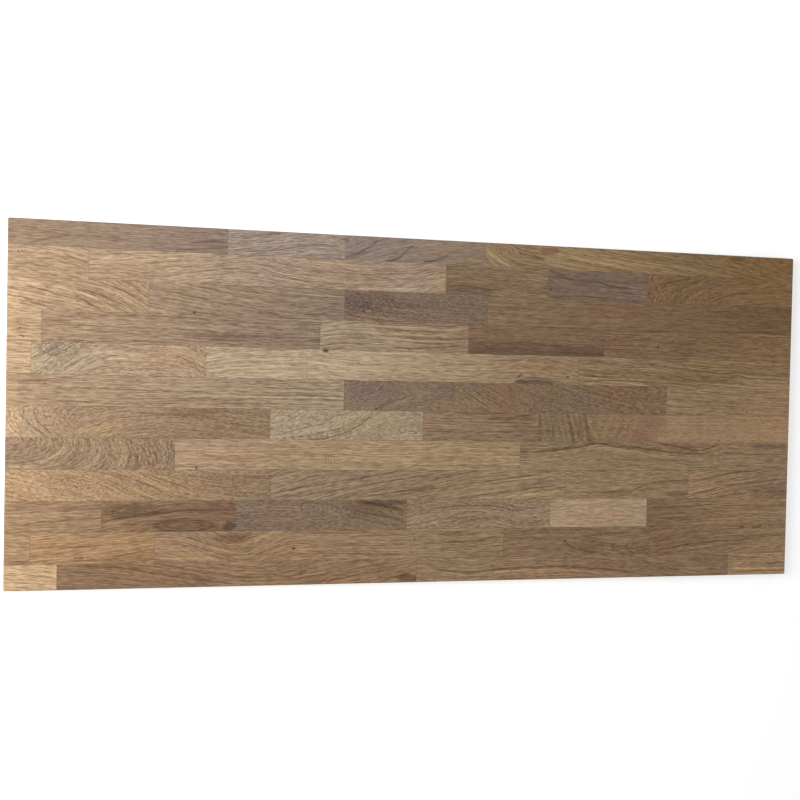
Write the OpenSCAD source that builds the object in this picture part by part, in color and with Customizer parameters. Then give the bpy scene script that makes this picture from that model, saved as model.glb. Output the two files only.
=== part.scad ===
// Glued laminated oak panel: rows of short staves, glued edge to edge and end to end,
// sawn to size and rounded over along every edge.
// It lies flat. The origin is the centre of the underside, X runs along the staves,
// Y across them and Z up. Row 1 is the row on the +Y side, stave 1 the one at the -X end.

/* [Panel] */
// Length of the panel, along the staves
panel_length = 1400; // [1150:10:2000]
// Width of the panel, across the staves
panel_width = 600; // [200:10:660]
// Thickness of the panel
panel_thickness = 27; // [14:1:60]

/* [Staves] */
// Width of a stave in every row but the two outer ones, which are sawn to the panel's width
stave_width = 51.5; // [47:0.5:90]

/* [Edges] */
// Round-over along the top and bottom edges
edge_radius = 3; // [0.5:0.5:6]
// Radius of the four upright corners
corner_radius = 4; // [0.5:0.5:20]

/* [Hidden] */
$fn = 64;

// Tones that the staves are sorted by
cream = [0.80, 0.66, 0.47];
straw = [0.73, 0.59, 0.42];
honey = [0.66, 0.50, 0.33];
tan_brown = [0.60, 0.47, 0.34];
umber = [0.50, 0.39, 0.28];
smoke = [0.42, 0.35, 0.29];

// Length of each stave in each row, from the -X end. The one marked fill is sawn to what
// the panel's length leaves it.
fill = undef;
row_staves = [
    [346, 197, 249, fill],
    [125, fill, 189, 190, 299],
    [220, 324, 255, fill],
    [53, fill, 262, 255, 380],
    [38, 275, 168, fill, 428],
    [546, fill, 254],
    [107, 314, 265, 213, fill],
    [265, fill, 390, 145],
    [424, fill, 242, 206],
    [150, 217, fill, 264, 188, 288],
    [40, 195, fill, 280, 282],
    [82, 598, fill, 121],
];

// Tone of each stave, in the same order
row_tones = [
    [tan_brown, tan_brown, smoke, honey],
    [straw, straw, umber, smoke, honey],
    [straw, tan_brown, smoke, umber],
    [straw, tan_brown, straw, umber, umber],
    [cream, straw, straw, cream, honey],
    [straw, smoke, tan_brown],
    [straw, tan_brown, straw, umber, tan_brown],
    [umber, straw, umber, umber],
    [honey, tan_brown, tan_brown, honey],
    [tan_brown, smoke, smoke, tan_brown, cream, umber],
    [tan_brown, honey, honey, umber, umber],
    [cream, tan_brown, tan_brown, honey],
];

rows = ceil(panel_width / stave_width);
outer_row_width = (panel_width - (rows - 2) * stave_width) / 2;

// Sum of the first n numbers of a list
function sum(list, n) = n == 0 ? 0 : sum(list, n - 1) + list[n - 1];

// Lengths of the staves in a row; past the last row of the layout the rows start again
// from the first
function stave_lengths(row) =
    let (layout = row_staves[row % len(row_staves)])
    let (set_lengths = [for (x = layout) if (x != fill) x])
    [for (x = layout) x == fill ? panel_length - sum(set_lengths, len(set_lengths)) : x];

function stave_count(row) = len(stave_lengths(row));

// X of a stave's left end
function stave_start(row, i) = sum(stave_lengths(row), i) - panel_length / 2;

// Y of the glue line above a row, or of the sawn edge for the first row
function row_line(row) =
    row == 0 ? panel_width / 2
    : row == rows ? -panel_width / 2
    : panel_width / 2 - outer_row_width - (row - 1) * stave_width;

function two_digits(n) = str(n < 10 ? "0" : "", n);
function stave_name(row, i) = str("row_", two_digits(row + 1), "_stave_", i + 1);

function stave_tone(row, i) =
    let (tones = row_tones[row % len(row_tones)])
    tones[i % len(tones)];

// Rectangle about the origin with four round corners
module rounded_rectangle(size_x, size_y, radius) {
    square([size_x, size_y - 2 * radius], center = true);
    square([size_x - 2 * radius, size_y], center = true);
    for (sx = [-1, 1])
        for (sy = [-1, 1])
            translate([sx * (size_x / 2 - radius), sy * (size_y / 2 - radius)])
                circle(r = radius);
}

// Space inside the finished panel: the plan with its corners, and the two sections
// that ease the long and the short edges
module panel_envelope() {
    intersection() {
        linear_extrude(panel_thickness)
            rounded_rectangle(panel_length, panel_width, corner_radius);
        translate([-panel_length / 2, 0, panel_thickness / 2])
            rotate([90, 0, 90])
                linear_extrude(panel_length)
                    rounded_rectangle(panel_width, panel_thickness, edge_radius);
        translate([0, panel_width / 2, panel_thickness / 2])
            rotate([90, 0, 0])
                linear_extrude(panel_width)
                    rounded_rectangle(panel_length, panel_thickness, edge_radius);
    }
}

// One stave: the block between its two glue lines and its two end joints
module stave(row, i) {
    color(stave_tone(row, i))
        intersection() {
            panel_envelope();
            translate([stave_start(row, i), row_line(row + 1), 0])
                cube([stave_lengths(row)[i], row_line(row) - row_line(row + 1), panel_thickness]);
        }
}

for (row = [0 : rows - 1])
    for (i = [0 : stave_count(row) - 1])
        stave(row, i);
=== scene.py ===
import math

import bpy
import mathutils
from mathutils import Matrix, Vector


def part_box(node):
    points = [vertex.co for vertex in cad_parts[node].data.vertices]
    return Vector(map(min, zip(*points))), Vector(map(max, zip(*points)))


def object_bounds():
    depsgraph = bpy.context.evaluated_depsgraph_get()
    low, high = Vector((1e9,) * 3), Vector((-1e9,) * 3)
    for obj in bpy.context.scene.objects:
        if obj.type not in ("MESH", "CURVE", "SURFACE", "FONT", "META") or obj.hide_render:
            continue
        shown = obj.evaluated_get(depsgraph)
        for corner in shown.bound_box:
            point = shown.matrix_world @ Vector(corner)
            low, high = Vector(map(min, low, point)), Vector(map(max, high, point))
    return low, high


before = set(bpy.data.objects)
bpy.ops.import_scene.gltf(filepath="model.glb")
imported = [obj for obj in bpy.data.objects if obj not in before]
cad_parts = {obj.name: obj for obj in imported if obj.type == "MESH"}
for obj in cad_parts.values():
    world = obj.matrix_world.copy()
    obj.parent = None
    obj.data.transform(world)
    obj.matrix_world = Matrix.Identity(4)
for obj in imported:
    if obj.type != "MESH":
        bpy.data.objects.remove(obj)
cad_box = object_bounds()

# The panel's faces, in metres. Places on the panel are given in millimetres from here:
# "along" from the left end, "down" from the far edge and "deep" from the top face.
(LEFT, NEAR, BOTTOM), (RIGHT, FAR, TOP) = [list(corner) for corner in cad_box]
MM = 1000
LENGTH = (RIGHT - LEFT) * MM
WIDTH = (FAR - NEAR) * MM

# Oak tones, as the colour of the oiled wood in plain light
CREAM = (0.50, 0.355, 0.225)
SAND = (0.45, 0.340, 0.225)
STRAW = (0.41, 0.285, 0.180)
HONEY = (0.39, 0.248, 0.135)
WHEAT = (0.36, 0.245, 0.138)
GREY_TAN = (0.335, 0.257, 0.205)
TAN = (0.325, 0.218, 0.130)
ROSE = (0.30, 0.213, 0.153)
MAUVE = (0.29, 0.205, 0.165)
ASH = (0.285, 0.222, 0.188)
OLIVE = (0.28, 0.170, 0.072)
AMBER = (0.28, 0.168, 0.083)
BROWN = (0.28, 0.176, 0.100)
UMBER = (0.22, 0.133, 0.073)
SMOKE = (0.235, 0.165, 0.115)
PLUM = (0.22, 0.150, 0.110)

# What the grain does to a tone
DARK_GRAIN = (0.58, 0.51, 0.45)
LIGHT_GRAIN = (1.40, 1.44, 1.47)
DARK_LINE = (0.50, 0.43, 0.38)
LIGHT_LINE = (1.28, 1.31, 1.32)
DARK_FLECK = (0.49, 0.43, 0.37)
LIGHT_FLECK = (1.35, 1.34, 1.30)
SHADE = (0.74, 0.70, 0.68)
KNOT_HEART = (0.040, 0.024, 0.016)
GLUE_LINE = (0.085, 0.055, 0.036)
# a greyer, bluer tint along the eased edge of the panel's outline
EDGE_TINT = (0.92, 0.98, 1.10)

GLUE_WIDTH = 0.30
ROUND_OVER = 3.0


def step(tree, operation, *terms, clamp=False):
    """The result of one math node, whose terms are sockets or plain numbers."""
    node = tree.nodes.new("ShaderNodeMath")
    node.operation = operation
    node.use_clamp = clamp
    for slot, term in zip(node.inputs, terms):
        if isinstance(term, (int, float)):
            slot.default_value = term
        else:
            tree.links.new(term, slot)
    return node.outputs[0]


class Value:
    """A number that changes over the wood: scale times a socket, plus a shift.

    Scaling and shifting it by plain numbers make no node. A sum, a product or a function of
    values makes one, and so does a value's first use where it has a scale or a shift.
    """

    def __init__(self, tree, socket, scale=1.0, shift=0.0):
        self.tree = tree
        self.socket = socket
        self.scale = scale
        self.shift = shift

    def bare(self):
        """The socket that gives the value as it is, with its scale and shift worked in."""
        if (self.scale, self.shift) != (1.0, 0.0):
            self.socket = step(self.tree, "MULTIPLY_ADD", self.socket, self.scale, self.shift)
            self.scale, self.shift = 1.0, 0.0
        return self.socket

    def run(self, operation, *others):
        terms = [other.bare() if isinstance(other, Value) else other for other in others]
        return Value(self.tree, step(self.tree, operation, self.bare(), *terms))

    def __add__(self, other):
        if not isinstance(other, Value):
            return Value(self.tree, self.socket, self.scale, self.shift + other)
        if not other.scale:
            return self + other.shift
        share = self.scale / other.scale
        total = step(self.tree, "MULTIPLY_ADD", self.socket, share, other.socket)
        return Value(self.tree, total, other.scale, self.shift + other.shift)

    def __sub__(self, other):
        return self + other * -1.0

    def __mul__(self, other):
        if not isinstance(other, Value):
            return Value(self.tree, self.socket, self.scale * other, self.shift * other)
        for term in (self, other):
            if term.shift:
                term.bare()
        product = step(self.tree, "MULTIPLY", self.socket, other.socket)
        return Value(self.tree, product, self.scale * other.scale)

    def at_most(self, other):
        return self.run("MINIMUM", other)

    def at_least(self, other):
        return self.run("MAXIMUM", other)

    def clamped(self):
        held = step(self.tree, "MULTIPLY_ADD", self.socket, self.scale, self.shift, clamp=True)
        return Value(self.tree, held)

    def fade(self, start, end):
        """0 up to start, 1 from end on, and a smooth rise between them."""
        node = self.tree.nodes.new("ShaderNodeMapRange")
        node.interpolation_type = "SMOOTHSTEP"
        self.tree.links.new(self.bare(), node.inputs["Value"])
        node.inputs["From Min"].default_value = start
        node.inputs["From Max"].default_value = end
        return Value(self.tree, node.outputs[0])


def root(total):
    return total.run("SQRT")


def bell(distance, width=1.0):
    """1 at distance 0, falling off as a bell: exp(-(distance / width) squared)."""
    return (distance * distance * (-1 / width ** 2)).run("EXPONENT")


class Wood:
    """The node tree of one stave, with the place on the panel as its first values."""

    def __init__(self, name, seed):
        self.material = bpy.data.materials.new(name)
        self.material.use_nodes = True
        self.tree = self.material.node_tree
        self.tree.nodes.clear()
        self.seed = seed
        self.noises = {}
        place = self.node("ShaderNodeTexCoord").outputs["Object"]
        origin = (-LEFT * MM, FAR * MM, TOP * MM)
        self.place = self.vector("MULTIPLY_ADD", place, (MM, -MM, -MM), origin).outputs[0]
        split = self.node("ShaderNodeSeparateXYZ")
        self.tree.links.new(self.place, split.inputs[0])
        self.along, self.down, self.deep = [Value(self.tree, out) for out in split.outputs]
        self.wobble = self.noise((14, 14, 14), shift=3)
        self.uneven = self.noise((12, 12, 12), shift=37) * 0.5 + 0.95

    def node(self, kind):
        return self.tree.nodes.new(kind)

    def vector(self, operation, place, *terms):
        """A vector math node on a place, with its other terms as plain triples."""
        node = self.node("ShaderNodeVectorMath")
        node.operation = operation
        self.tree.links.new(place, node.inputs[0])
        for slot, term in zip(list(node.inputs)[1:], terms):
            slot.default_value = term
        return node

    def noise(self, size, place=None, detail=2.0, rough=0.5, shift=0.0):
        """Smooth noise about 0, within about -1 to 1, with ripples of a size in mm along the
        three axes of a place. Asked for again with the same size and shift, it is shared."""
        if (size, shift) not in self.noises:
            node = self.node("ShaderNodeTexNoise")
            node.inputs["Scale"].default_value = 1.0
            node.inputs["Detail"].default_value = detail
            node.inputs["Roughness"].default_value = rough
            ripples = [1 / length for length in size]
            place = self.place if place is None else place
            spot = self.vector("MULTIPLY_ADD", place, ripples, [self.seed + shift] * 3)
            self.tree.links.new(spot.outputs[0], node.inputs["Vector"])
            self.noises[size, shift] = Value(self.tree, node.outputs[0], 2.6, -1.3)
        return self.noises[size, shift]

    def curve(self, points, upright=False):
        """Where a line drawn through points (along, down) lies: its down for any place
        along, or its along for any place down if the line is upright."""
        node = self.node("ShaderNodeFloatCurve")
        node.mapping.use_clip = False
        knots = node.mapping.curves[0].points
        for _ in points[2:]:
            knots.new(0.5, 0.5)
        for knot, point in zip(knots, points):
            knot.location = point[::-1] if upright else point
            knot.handle_type = "AUTO"
        node.mapping.update()
        place = self.down if upright else self.along
        self.tree.links.new(place.bare(), node.inputs["Value"])
        return Value(self.tree, node.outputs[0])

    def blend(self, kind, factor, first, second):
        """first mixed with, or multiplied by, second. Colours are tuples or links."""
        node = self.node("ShaderNodeMix")
        node.data_type = "RGBA"
        node.blend_type = kind
        if isinstance(factor, Value):
            factor = factor.bare()
            self.tree.links.new(factor, node.inputs[0])
        else:
            node.inputs[0].default_value = factor
        for colour, slot in ((first, node.inputs[6]), (second, node.inputs[7])):
            if isinstance(colour, tuple):
                slot.default_value = (*colour, 1.0)
            else:
                self.tree.links.new(colour, slot)
        return node.outputs[2]


def oval(wood, spot):
    """Distance from a spot (along, down, half length, half width), 1 on its outline."""
    along, down, half_length, half_width = spot
    shares = (1 / half_length, 1 / half_width, 0)
    centre = (-along / half_length, -down / half_width, 0)
    around = wood.vector("MULTIPLY_ADD", wood.place, shares, centre)
    return Value(wood.tree, wood.vector("LENGTH", around.outputs[0]).outputs["Value"])


def ring_distance(wood, guide, heart, depth, dive, curl, drift, bends):
    """How far a place lies from the log's heart, in mm, which the growth rings follow.

    It is the root of (distance beside the heart) squared plus (distance below it) squared.
    The heart runs beside the guide line, 'heart' mm away and 'depth' mm below the top face.
    dive = (apex, slope, left, right) tilts it about the apex, for that far to the left and
    right, so that the rings close in arches there. curl = (height, length, lean) adds a
    sine wave, drift adds slow noise, and each bend (along, down, half length, half width,
    push, lift) is a bell that pushes the lines apart or lifts them all.
    """
    wander = wood.noise((95, 30, 30))
    across = wood.down - wood.curve(guide) + wander * drift
    if curl:
        height, length, lean = curl
        turn = (wood.along + wood.down * lean) * (2 * math.pi / length) + wander * 2.6
        uneven = wood.noise((length, 30, 100), shift=5)
        across = across + turn.run("SINE") * (uneven + 1.0) * height
    for along, down, half_length, half_width, push, lift in bends:
        near = bell(oval(wood, (along, down, half_length, half_width)))
        across = across + ((wood.down - down) * (push / half_width) + lift) * near
    below = wood.deep + depth
    if dive:
        apex, slope, left, right = dive
        reach = (wood.along - apex).at_least(-left).at_most(right)
        below = below + reach * slope
    sideways = across + heart
    return root(sideways * sideways + below * below)


def grain(wood, ring, lines, bands, streaks, fleck):
    """How light the grain is at a place, 0.5 on average, and how deep its pores are."""
    beside = wood.deep + wood.down * 0.35
    join = wood.node("ShaderNodeCombineXYZ")
    for term, slot in zip((wood.along, ring, beside), join.inputs):
        wood.tree.links.new(term.bare(), slot)
    rings = join.outputs[0]
    wide = wood.noise((600, 7, 200), rings, detail=1.0, shift=11)
    patch = wood.noise((60, 16, 16), shift=43)
    fine = wood.noise((120, 1.8, 30), rings, detail=2.0, rough=0.65, shift=23)
    thread = wood.noise((170, 3.0, 30), rings, detail=1.5, rough=0.6, shift=67)
    fibre = wood.noise((fleck, 1.5, 1.5), rings, detail=2.0, rough=0.65, shift=31)
    pore = wood.noise((8, 0.7, 0.7), rings, detail=1.0, rough=0.5, shift=57)
    seams = bell(thread, 0.25)
    threads = bell(thread - 0.45, 0.18)
    pores = (pore - fine * 0.4).fade(0.20, 0.60)
    light = wide * bands + fine * (patch * 0.6 + 1.0) * (0.54 * lines) - seams * (0.32 * lines)
    light = light + threads * (0.18 * lines) + fibre * (1.25 * streaks) + patch * 0.04
    light = light - pores * 0.22 + (0.55 + 0.08 * lines)
    return light.clamped(), pores


def draw_line(wood, colour, points, width, strength, tone):
    """A dark or light line through points, uneven in strength and tapering out at its ends."""
    (first_along, first_down), (last_along, last_down) = points[0], points[-1]
    run, fall = last_along - first_along, last_down - first_down
    upright = abs(fall) > abs(run)
    if upright:
        gap, place, first, reach, slope = wood.along, wood.down, first_down, fall, run / fall
    else:
        gap, place, first, reach, slope = wood.down, wood.along, first_along, run, fall / run
    gap = wood.wobble * (0.35 * width) + gap - wood.curve(points, upright)
    ends = place.fade(first, first + 0.15 * reach)
    ends = ends - place.fade(first + 0.85 * reach, first + reach)
    across = bell(gap, width * math.hypot(1, slope))
    return wood.blend("MULTIPLY", across * ends * wood.uneven * strength, colour, tone)


def draw_ring_line(wood, colour, spot, width, strength):
    """A dark closed line round a spot, as where a growth ring is cut shallow."""
    ragged = wood.noise((14, 4, 4), shift=73)
    gap = (oval(wood, spot) - 1.0 + ragged * 0.08) * spot[3]
    return wood.blend("MULTIPLY", bell(gap, width) * strength, colour, DARK_LINE)


def draw_arcs(wood, colour, spot, spacing, bow, lean, strength):
    """Curved stripes across the grain, dark and light by turns and a spacing apart. Each
    bulges bow mm to the right in the middle of the spot and leans lean mm to the left."""
    along, down, half_length, half_width = spot
    v = (wood.down - down) * (1 / half_width)
    wobble = wood.noise((12, 7, 10), shift=101)
    place = wood.along + v * v * bow + v * lean + wobble * (0.6 * spacing)
    wave = (place * (2 * math.pi / spacing)).run("SINE")
    inside = oval(wood, spot).fade(1.15, 0.5) * wood.uneven * strength
    colour = wood.blend("MULTIPLY", wave.fade(0.1, 1.0) * inside, colour, DARK_LINE)
    return wood.blend("MULTIPLY", wave.fade(-0.1, -1.0) * inside, colour, LIGHT_LINE)


def draw_stain_or_highlight(wood, colour, spot, tone, strength, broken):
    """A soft patch of another tone, with an outline that the grain breaks up. Most are stains in the wood; the light
    ones at the panel's left end are a painted highlight.
    """
    distance = wood.noise((35, 4, 4), shift=71) * broken + oval(wood, spot)
    return wood.blend("MULTIPLY", distance.fade(1.15, 0.55) * strength, colour, tone)


def draw_speckle(wood, colour, spot, strength):
    """Short dark flecks that thin out towards the edge of a spot."""
    flecks = wood.noise((4.5, 2.2, 3.0), shift=91)
    amount = flecks.fade(0.0, 0.40) * oval(wood, spot).fade(1.15, 0.5)
    return wood.blend("MULTIPLY", amount * strength, colour, DARK_FLECK)


def draw_flecks(wood, colour, spot, lean, strength):
    """Short light dashes that run up or down across the grain, one mm in every 1 / lean."""
    slanted = wood.down + wood.along * lean
    join = wood.node("ShaderNodeCombineXYZ")
    for term, slot in zip((wood.along, slanted, wood.deep), join.inputs):
        wood.tree.links.new(term.bare(), slot)
    dashes = wood.noise((16, 1.9, 2), join.outputs[0], detail=1.0, shift=97 + lean)
    amount = dashes.fade(0.05, 0.50) * oval(wood, spot).fade(1.2, 0.6)
    return wood.blend("MULTIPLY", amount * strength, colour, LIGHT_FLECK)


def draw_knot(wood, colour, spot):
    """A knot: a dark heart with a ragged edge."""
    distance = wood.noise((2.5, 2.0, 6), shift=83) * 0.35 + oval(wood, spot)
    amount = distance.fade(1.25, 0.45) * wood.deep.fade(9.0, 4.0)
    return wood.blend("MIX", amount * 0.92, colour, KNOT_HEART)


def edge_distance(wood, low, high):
    """How far a place lies inside the stave's four upright sides, in mm."""
    start, end = (low[0] - LEFT) * MM, (high[0] - LEFT) * MM
    top, foot = (FAR - high[1]) * MM, (FAR - low[1]) * MM
    sides = (wood.along - start).at_most(wood.along * -1 + end)
    return sides.at_most(wood.down - top).at_most(wood.down * -1 + foot)


def outline_distance(wood):
    """How far a place lies inside the panel's own outline, in mm."""
    ends = wood.along.at_most(wood.along * -1 + LENGTH)
    sides = wood.down.at_most(wood.down * -1 + WIDTH)
    return ends.at_most(sides)


def finish_wood(wood, node_name, colour, light, pores):
    """Glue lines, the eased edge, the oiled sheen and the pores' relief."""
    outline = outline_distance(wood)
    glue = edge_distance(wood, *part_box(node_name)).fade(GLUE_WIDTH * 1.6, GLUE_WIDTH * 0.4)
    glue = glue * outline.fade(0.5, 1.2)
    colour = wood.blend("MIX", glue * 0.55, colour, GLUE_LINE)
    # the eased edge, within ROUND_OVER mm of the outline, is tinted greyer and bluer
    eased = outline.fade(ROUND_OVER, 0.4 * ROUND_OVER)
    colour = wood.blend("MULTIPLY", eased * 0.6, colour, EDGE_TINT)
    shader = wood.node("ShaderNodeBsdfPrincipled")
    shader.inputs["IOR"].default_value = 1.48
    shader.inputs["Specular IOR Level"].default_value = 0.28
    wood.tree.links.new(colour, shader.inputs["Base Color"])
    rough = light * -0.14 + pores * 0.10 + 0.56
    wood.tree.links.new(rough.bare(), shader.inputs["Roughness"])
    bump = wood.node("ShaderNodeBump")
    bump.inputs["Strength"].default_value = 0.35
    bump.inputs["Distance"].default_value = 0.0003
    height = light * 0.4 - pores * 0.8 - glue * 0.6
    wood.tree.links.new(height.bare(), bump.inputs["Height"])
    wood.tree.links.new(bump.outputs[0], shader.inputs["Normal"])
    out = wood.node("ShaderNodeOutputMaterial")
    wood.tree.links.new(shader.outputs[0], out.inputs[0])


def lightened(tone, share):
    return tuple(min(1.0, part * share) for part in tone)


def oak(node_name, seed, tones, level=(1.0, 1.0), guide=None, heart=160, depth=60, dive=None,
        curl=None, drift=2.0, bends=(), lines=0.75, bands=0.10, streaks=0.85, fleck=18, draw=()):
    """The oiled oak of one stave: its tones at its left and right end, the way its
    grain runs, and what is drawn on it."""
    wood = Wood("oak_" + node_name, seed)
    low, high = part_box(node_name)
    start, end = (low[0] - LEFT) * MM, (high[0] - LEFT) * MM
    middle = (FAR - (low[1] + high[1]) / 2) * MM
    if guide is None:
        guide = [(start, middle), (end, middle)]
    ring = ring_distance(wood, guide, heart, depth, dive, curl, drift, bends)
    light, pores = grain(wood, ring, lines, bands, streaks, fleck)
    share = (wood.along - start) * (1 / (end - start))
    tone = wood.blend("MIX", share, lightened(tones[0], level[0]), lightened(tones[1], level[1]))
    figure = wood.blend("MIX", light, DARK_GRAIN, LIGHT_GRAIN)
    colour = wood.blend("MULTIPLY", 1.0, tone, figure)
    for mark in draw:
        colour = mark(wood, colour)
    finish_wood(wood, node_name, colour, light, pores)
    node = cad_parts[node_name]
    for index in range(len(node.material_slots)):
        node.material_slots[index].material = wood.material
    if not node.material_slots:
        node.data.materials.append(wood.material)


def line(points, width, strength, tone=DARK_LINE):
    return lambda wood, colour: draw_line(wood, colour, points, width, strength, tone)


def pale_line(points, width, strength):
    return line(points, width, strength, LIGHT_LINE)


def ring_line(along, down, half_length, half_width, width, strength):
    spot = (along, down, half_length, half_width)
    return lambda wood, colour: draw_ring_line(wood, colour, spot, width, strength)


def arcs(along, down, half_length, half_width, spacing, bow, lean, strength):
    spot = (along, down, half_length, half_width)
    return lambda wood, colour: draw_arcs(wood, colour, spot, spacing, bow, lean, strength)


# a patch of another tone: a stain in the wood, or a painted highlight at the panel's left end
def stain_or_highlight(along, down, half_length, half_width, tone, strength=1.0, broken=0.35):
    spot = (along, down, half_length, half_width)
    return lambda wood, colour: draw_stain_or_highlight(wood, colour, spot, tone, strength, broken)


def speckle(along, down, half_length, half_width, strength):
    spot = (along, down, half_length, half_width)
    return lambda wood, colour: draw_speckle(wood, colour, spot, strength)


def flecks(along, down, half_length, half_width, lean, strength):
    spot = (along, down, half_length, half_width)
    return lambda wood, colour: draw_flecks(wood, colour, spot, lean, strength)


def knot(along, down, half_length, half_width):
    spot = (along, down, half_length, half_width)
    return lambda wood, colour: draw_knot(wood, colour, spot)


def pin(along, down):
    return knot(along, down, 1.5, 1.3)


def row_1():
    return [
        dict(tones=(TAN, MAUVE), level=(0.97, 0.95), lines=0.4, streaks=0.6,
             guide=[(0, 20), (160, 22), (346, 25)],
             draw=[line([(20, 10), (55, 19), (98, 25)], 1.7, 0.6),
                   line([(26, 42), (57, 32), (98, 25)], 1.7, 0.6),
                   line([(86, 25), (130, 24), (175, 27)], 0.8, 0.5),
                   line([(282, 28), (315, 23), (346, 24)], 2.0, 0.8),
                   line([(300, 8), (325, 10), (346, 10)], 0.9, 0.6),
                   line([(255, 39), (290, 37), (346, 32)], 1.3, 0.8),
                   stain_or_highlight(328, 28, 26, 9, SHADE, 0.5),
                   stain_or_highlight(4, 31, 9, 13, SHADE, 0.45)]),
        dict(tones=(GREY_TAN, GREY_TAN), level=(1.06, 1.05),
             guide=[(346, 43), (420, 33), (480, 23), (510, 19), (543, 22)],
             draw=[line([(362, 38), (420, 32), (470, 24), (500, 19), (525, 21), (543, 22)], 0.9, 0.8),
                   line([(392, 8), (425, 4), (447, 2)], 0.9, 0.7),
                   line([(475, 39), (510, 35), (543, 33)], 0.8, 0.6),
                   pale_line([(400, 39), (470, 31), (543, 28)], 1.0, 0.5)]),
        dict(tones=(ASH, ROSE), level=(1.0, 1.04), streaks=0.6, lines=0.5,
             guide=[(543, 58), (590, 38), (640, 26), (700, 20), (792, 14)],
             draw=[line([(550, 35), (566, 30), (587, 17), (603, 5)], 1.8, 1.0),
                   line([(610, 42), (635, 36), (651, 21), (668, 8)], 1.9, 1.0),
                   line([(676, 41), (705, 35), (729, 24)], 1.9, 1.0),
                   line([(735, 40), (765, 38), (792, 38)], 1.0, 0.6),
                   stain_or_highlight(546, 10, 6, 4, SHADE, 0.9),
                   stain_or_highlight(693, 17, 28, 13, (1.10, 1.03, 0.96), 0.8),
                   stain_or_highlight(740, 13, 24, 8, (1.0, 1.02, 0.86), 0.7),
                   stain_or_highlight(771, 33, 24, 10, (1.0, 1.06, 0.82), 0.8),
                   stain_or_highlight(560, 36, 24, 8, SHADE, 0.4)]),
        dict(tones=(WHEAT, OLIVE), level=(1.0, 0.98), bands=0.18, lines=0.95, streaks=0.7,
             guide=[(792, -12), (842, 26), (905, 40), (1075, 62), (1250, 84), (1400, 118)],
             draw=[stain_or_highlight(1330, 24, 90, 28, (0.98, 0.94, 0.84), 0.9),
                   pale_line([(794, 14), (812, 27), (830, 37), (844, 43)], 1.6, 1.0),
                   line([(793, 20), (808, 31), (824, 41)], 1.0, 0.7),
                   line([(850, 14), (880, 21), (908, 26)], 2.2, 0.8),
                   stain_or_highlight(912, 10, 22, 7, (0.72, 0.58, 0.56), 0.8),
                   pale_line([(905, 10), (975, 21), (1075, 36)], 1.5, 0.9),
                   line([(920, 22), (1000, 31), (1070, 39)], 1.0, 0.6),
                   line([(1060, 9), (1175, 24), (1255, 36)], 1.0, 0.7),
                   line([(1222, 5), (1282, 15), (1340, 30), (1398, 40)], 1.1, 0.7),
                   pale_line([(1200, 8), (1270, 20), (1330, 34)], 1.2, 0.6),
                   stain_or_highlight(1005, 20, 110, 20, (1.10, 1.12, 1.10), 0.8),
                   stain_or_highlight(1284, 6, 20, 4.5, (0.62, 0.62, 0.55), 0.9),
                   stain_or_highlight(1328, 10, 20, 4.5, (1.15, 0.90, 0.80), 0.7)]),
    ]


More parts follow.
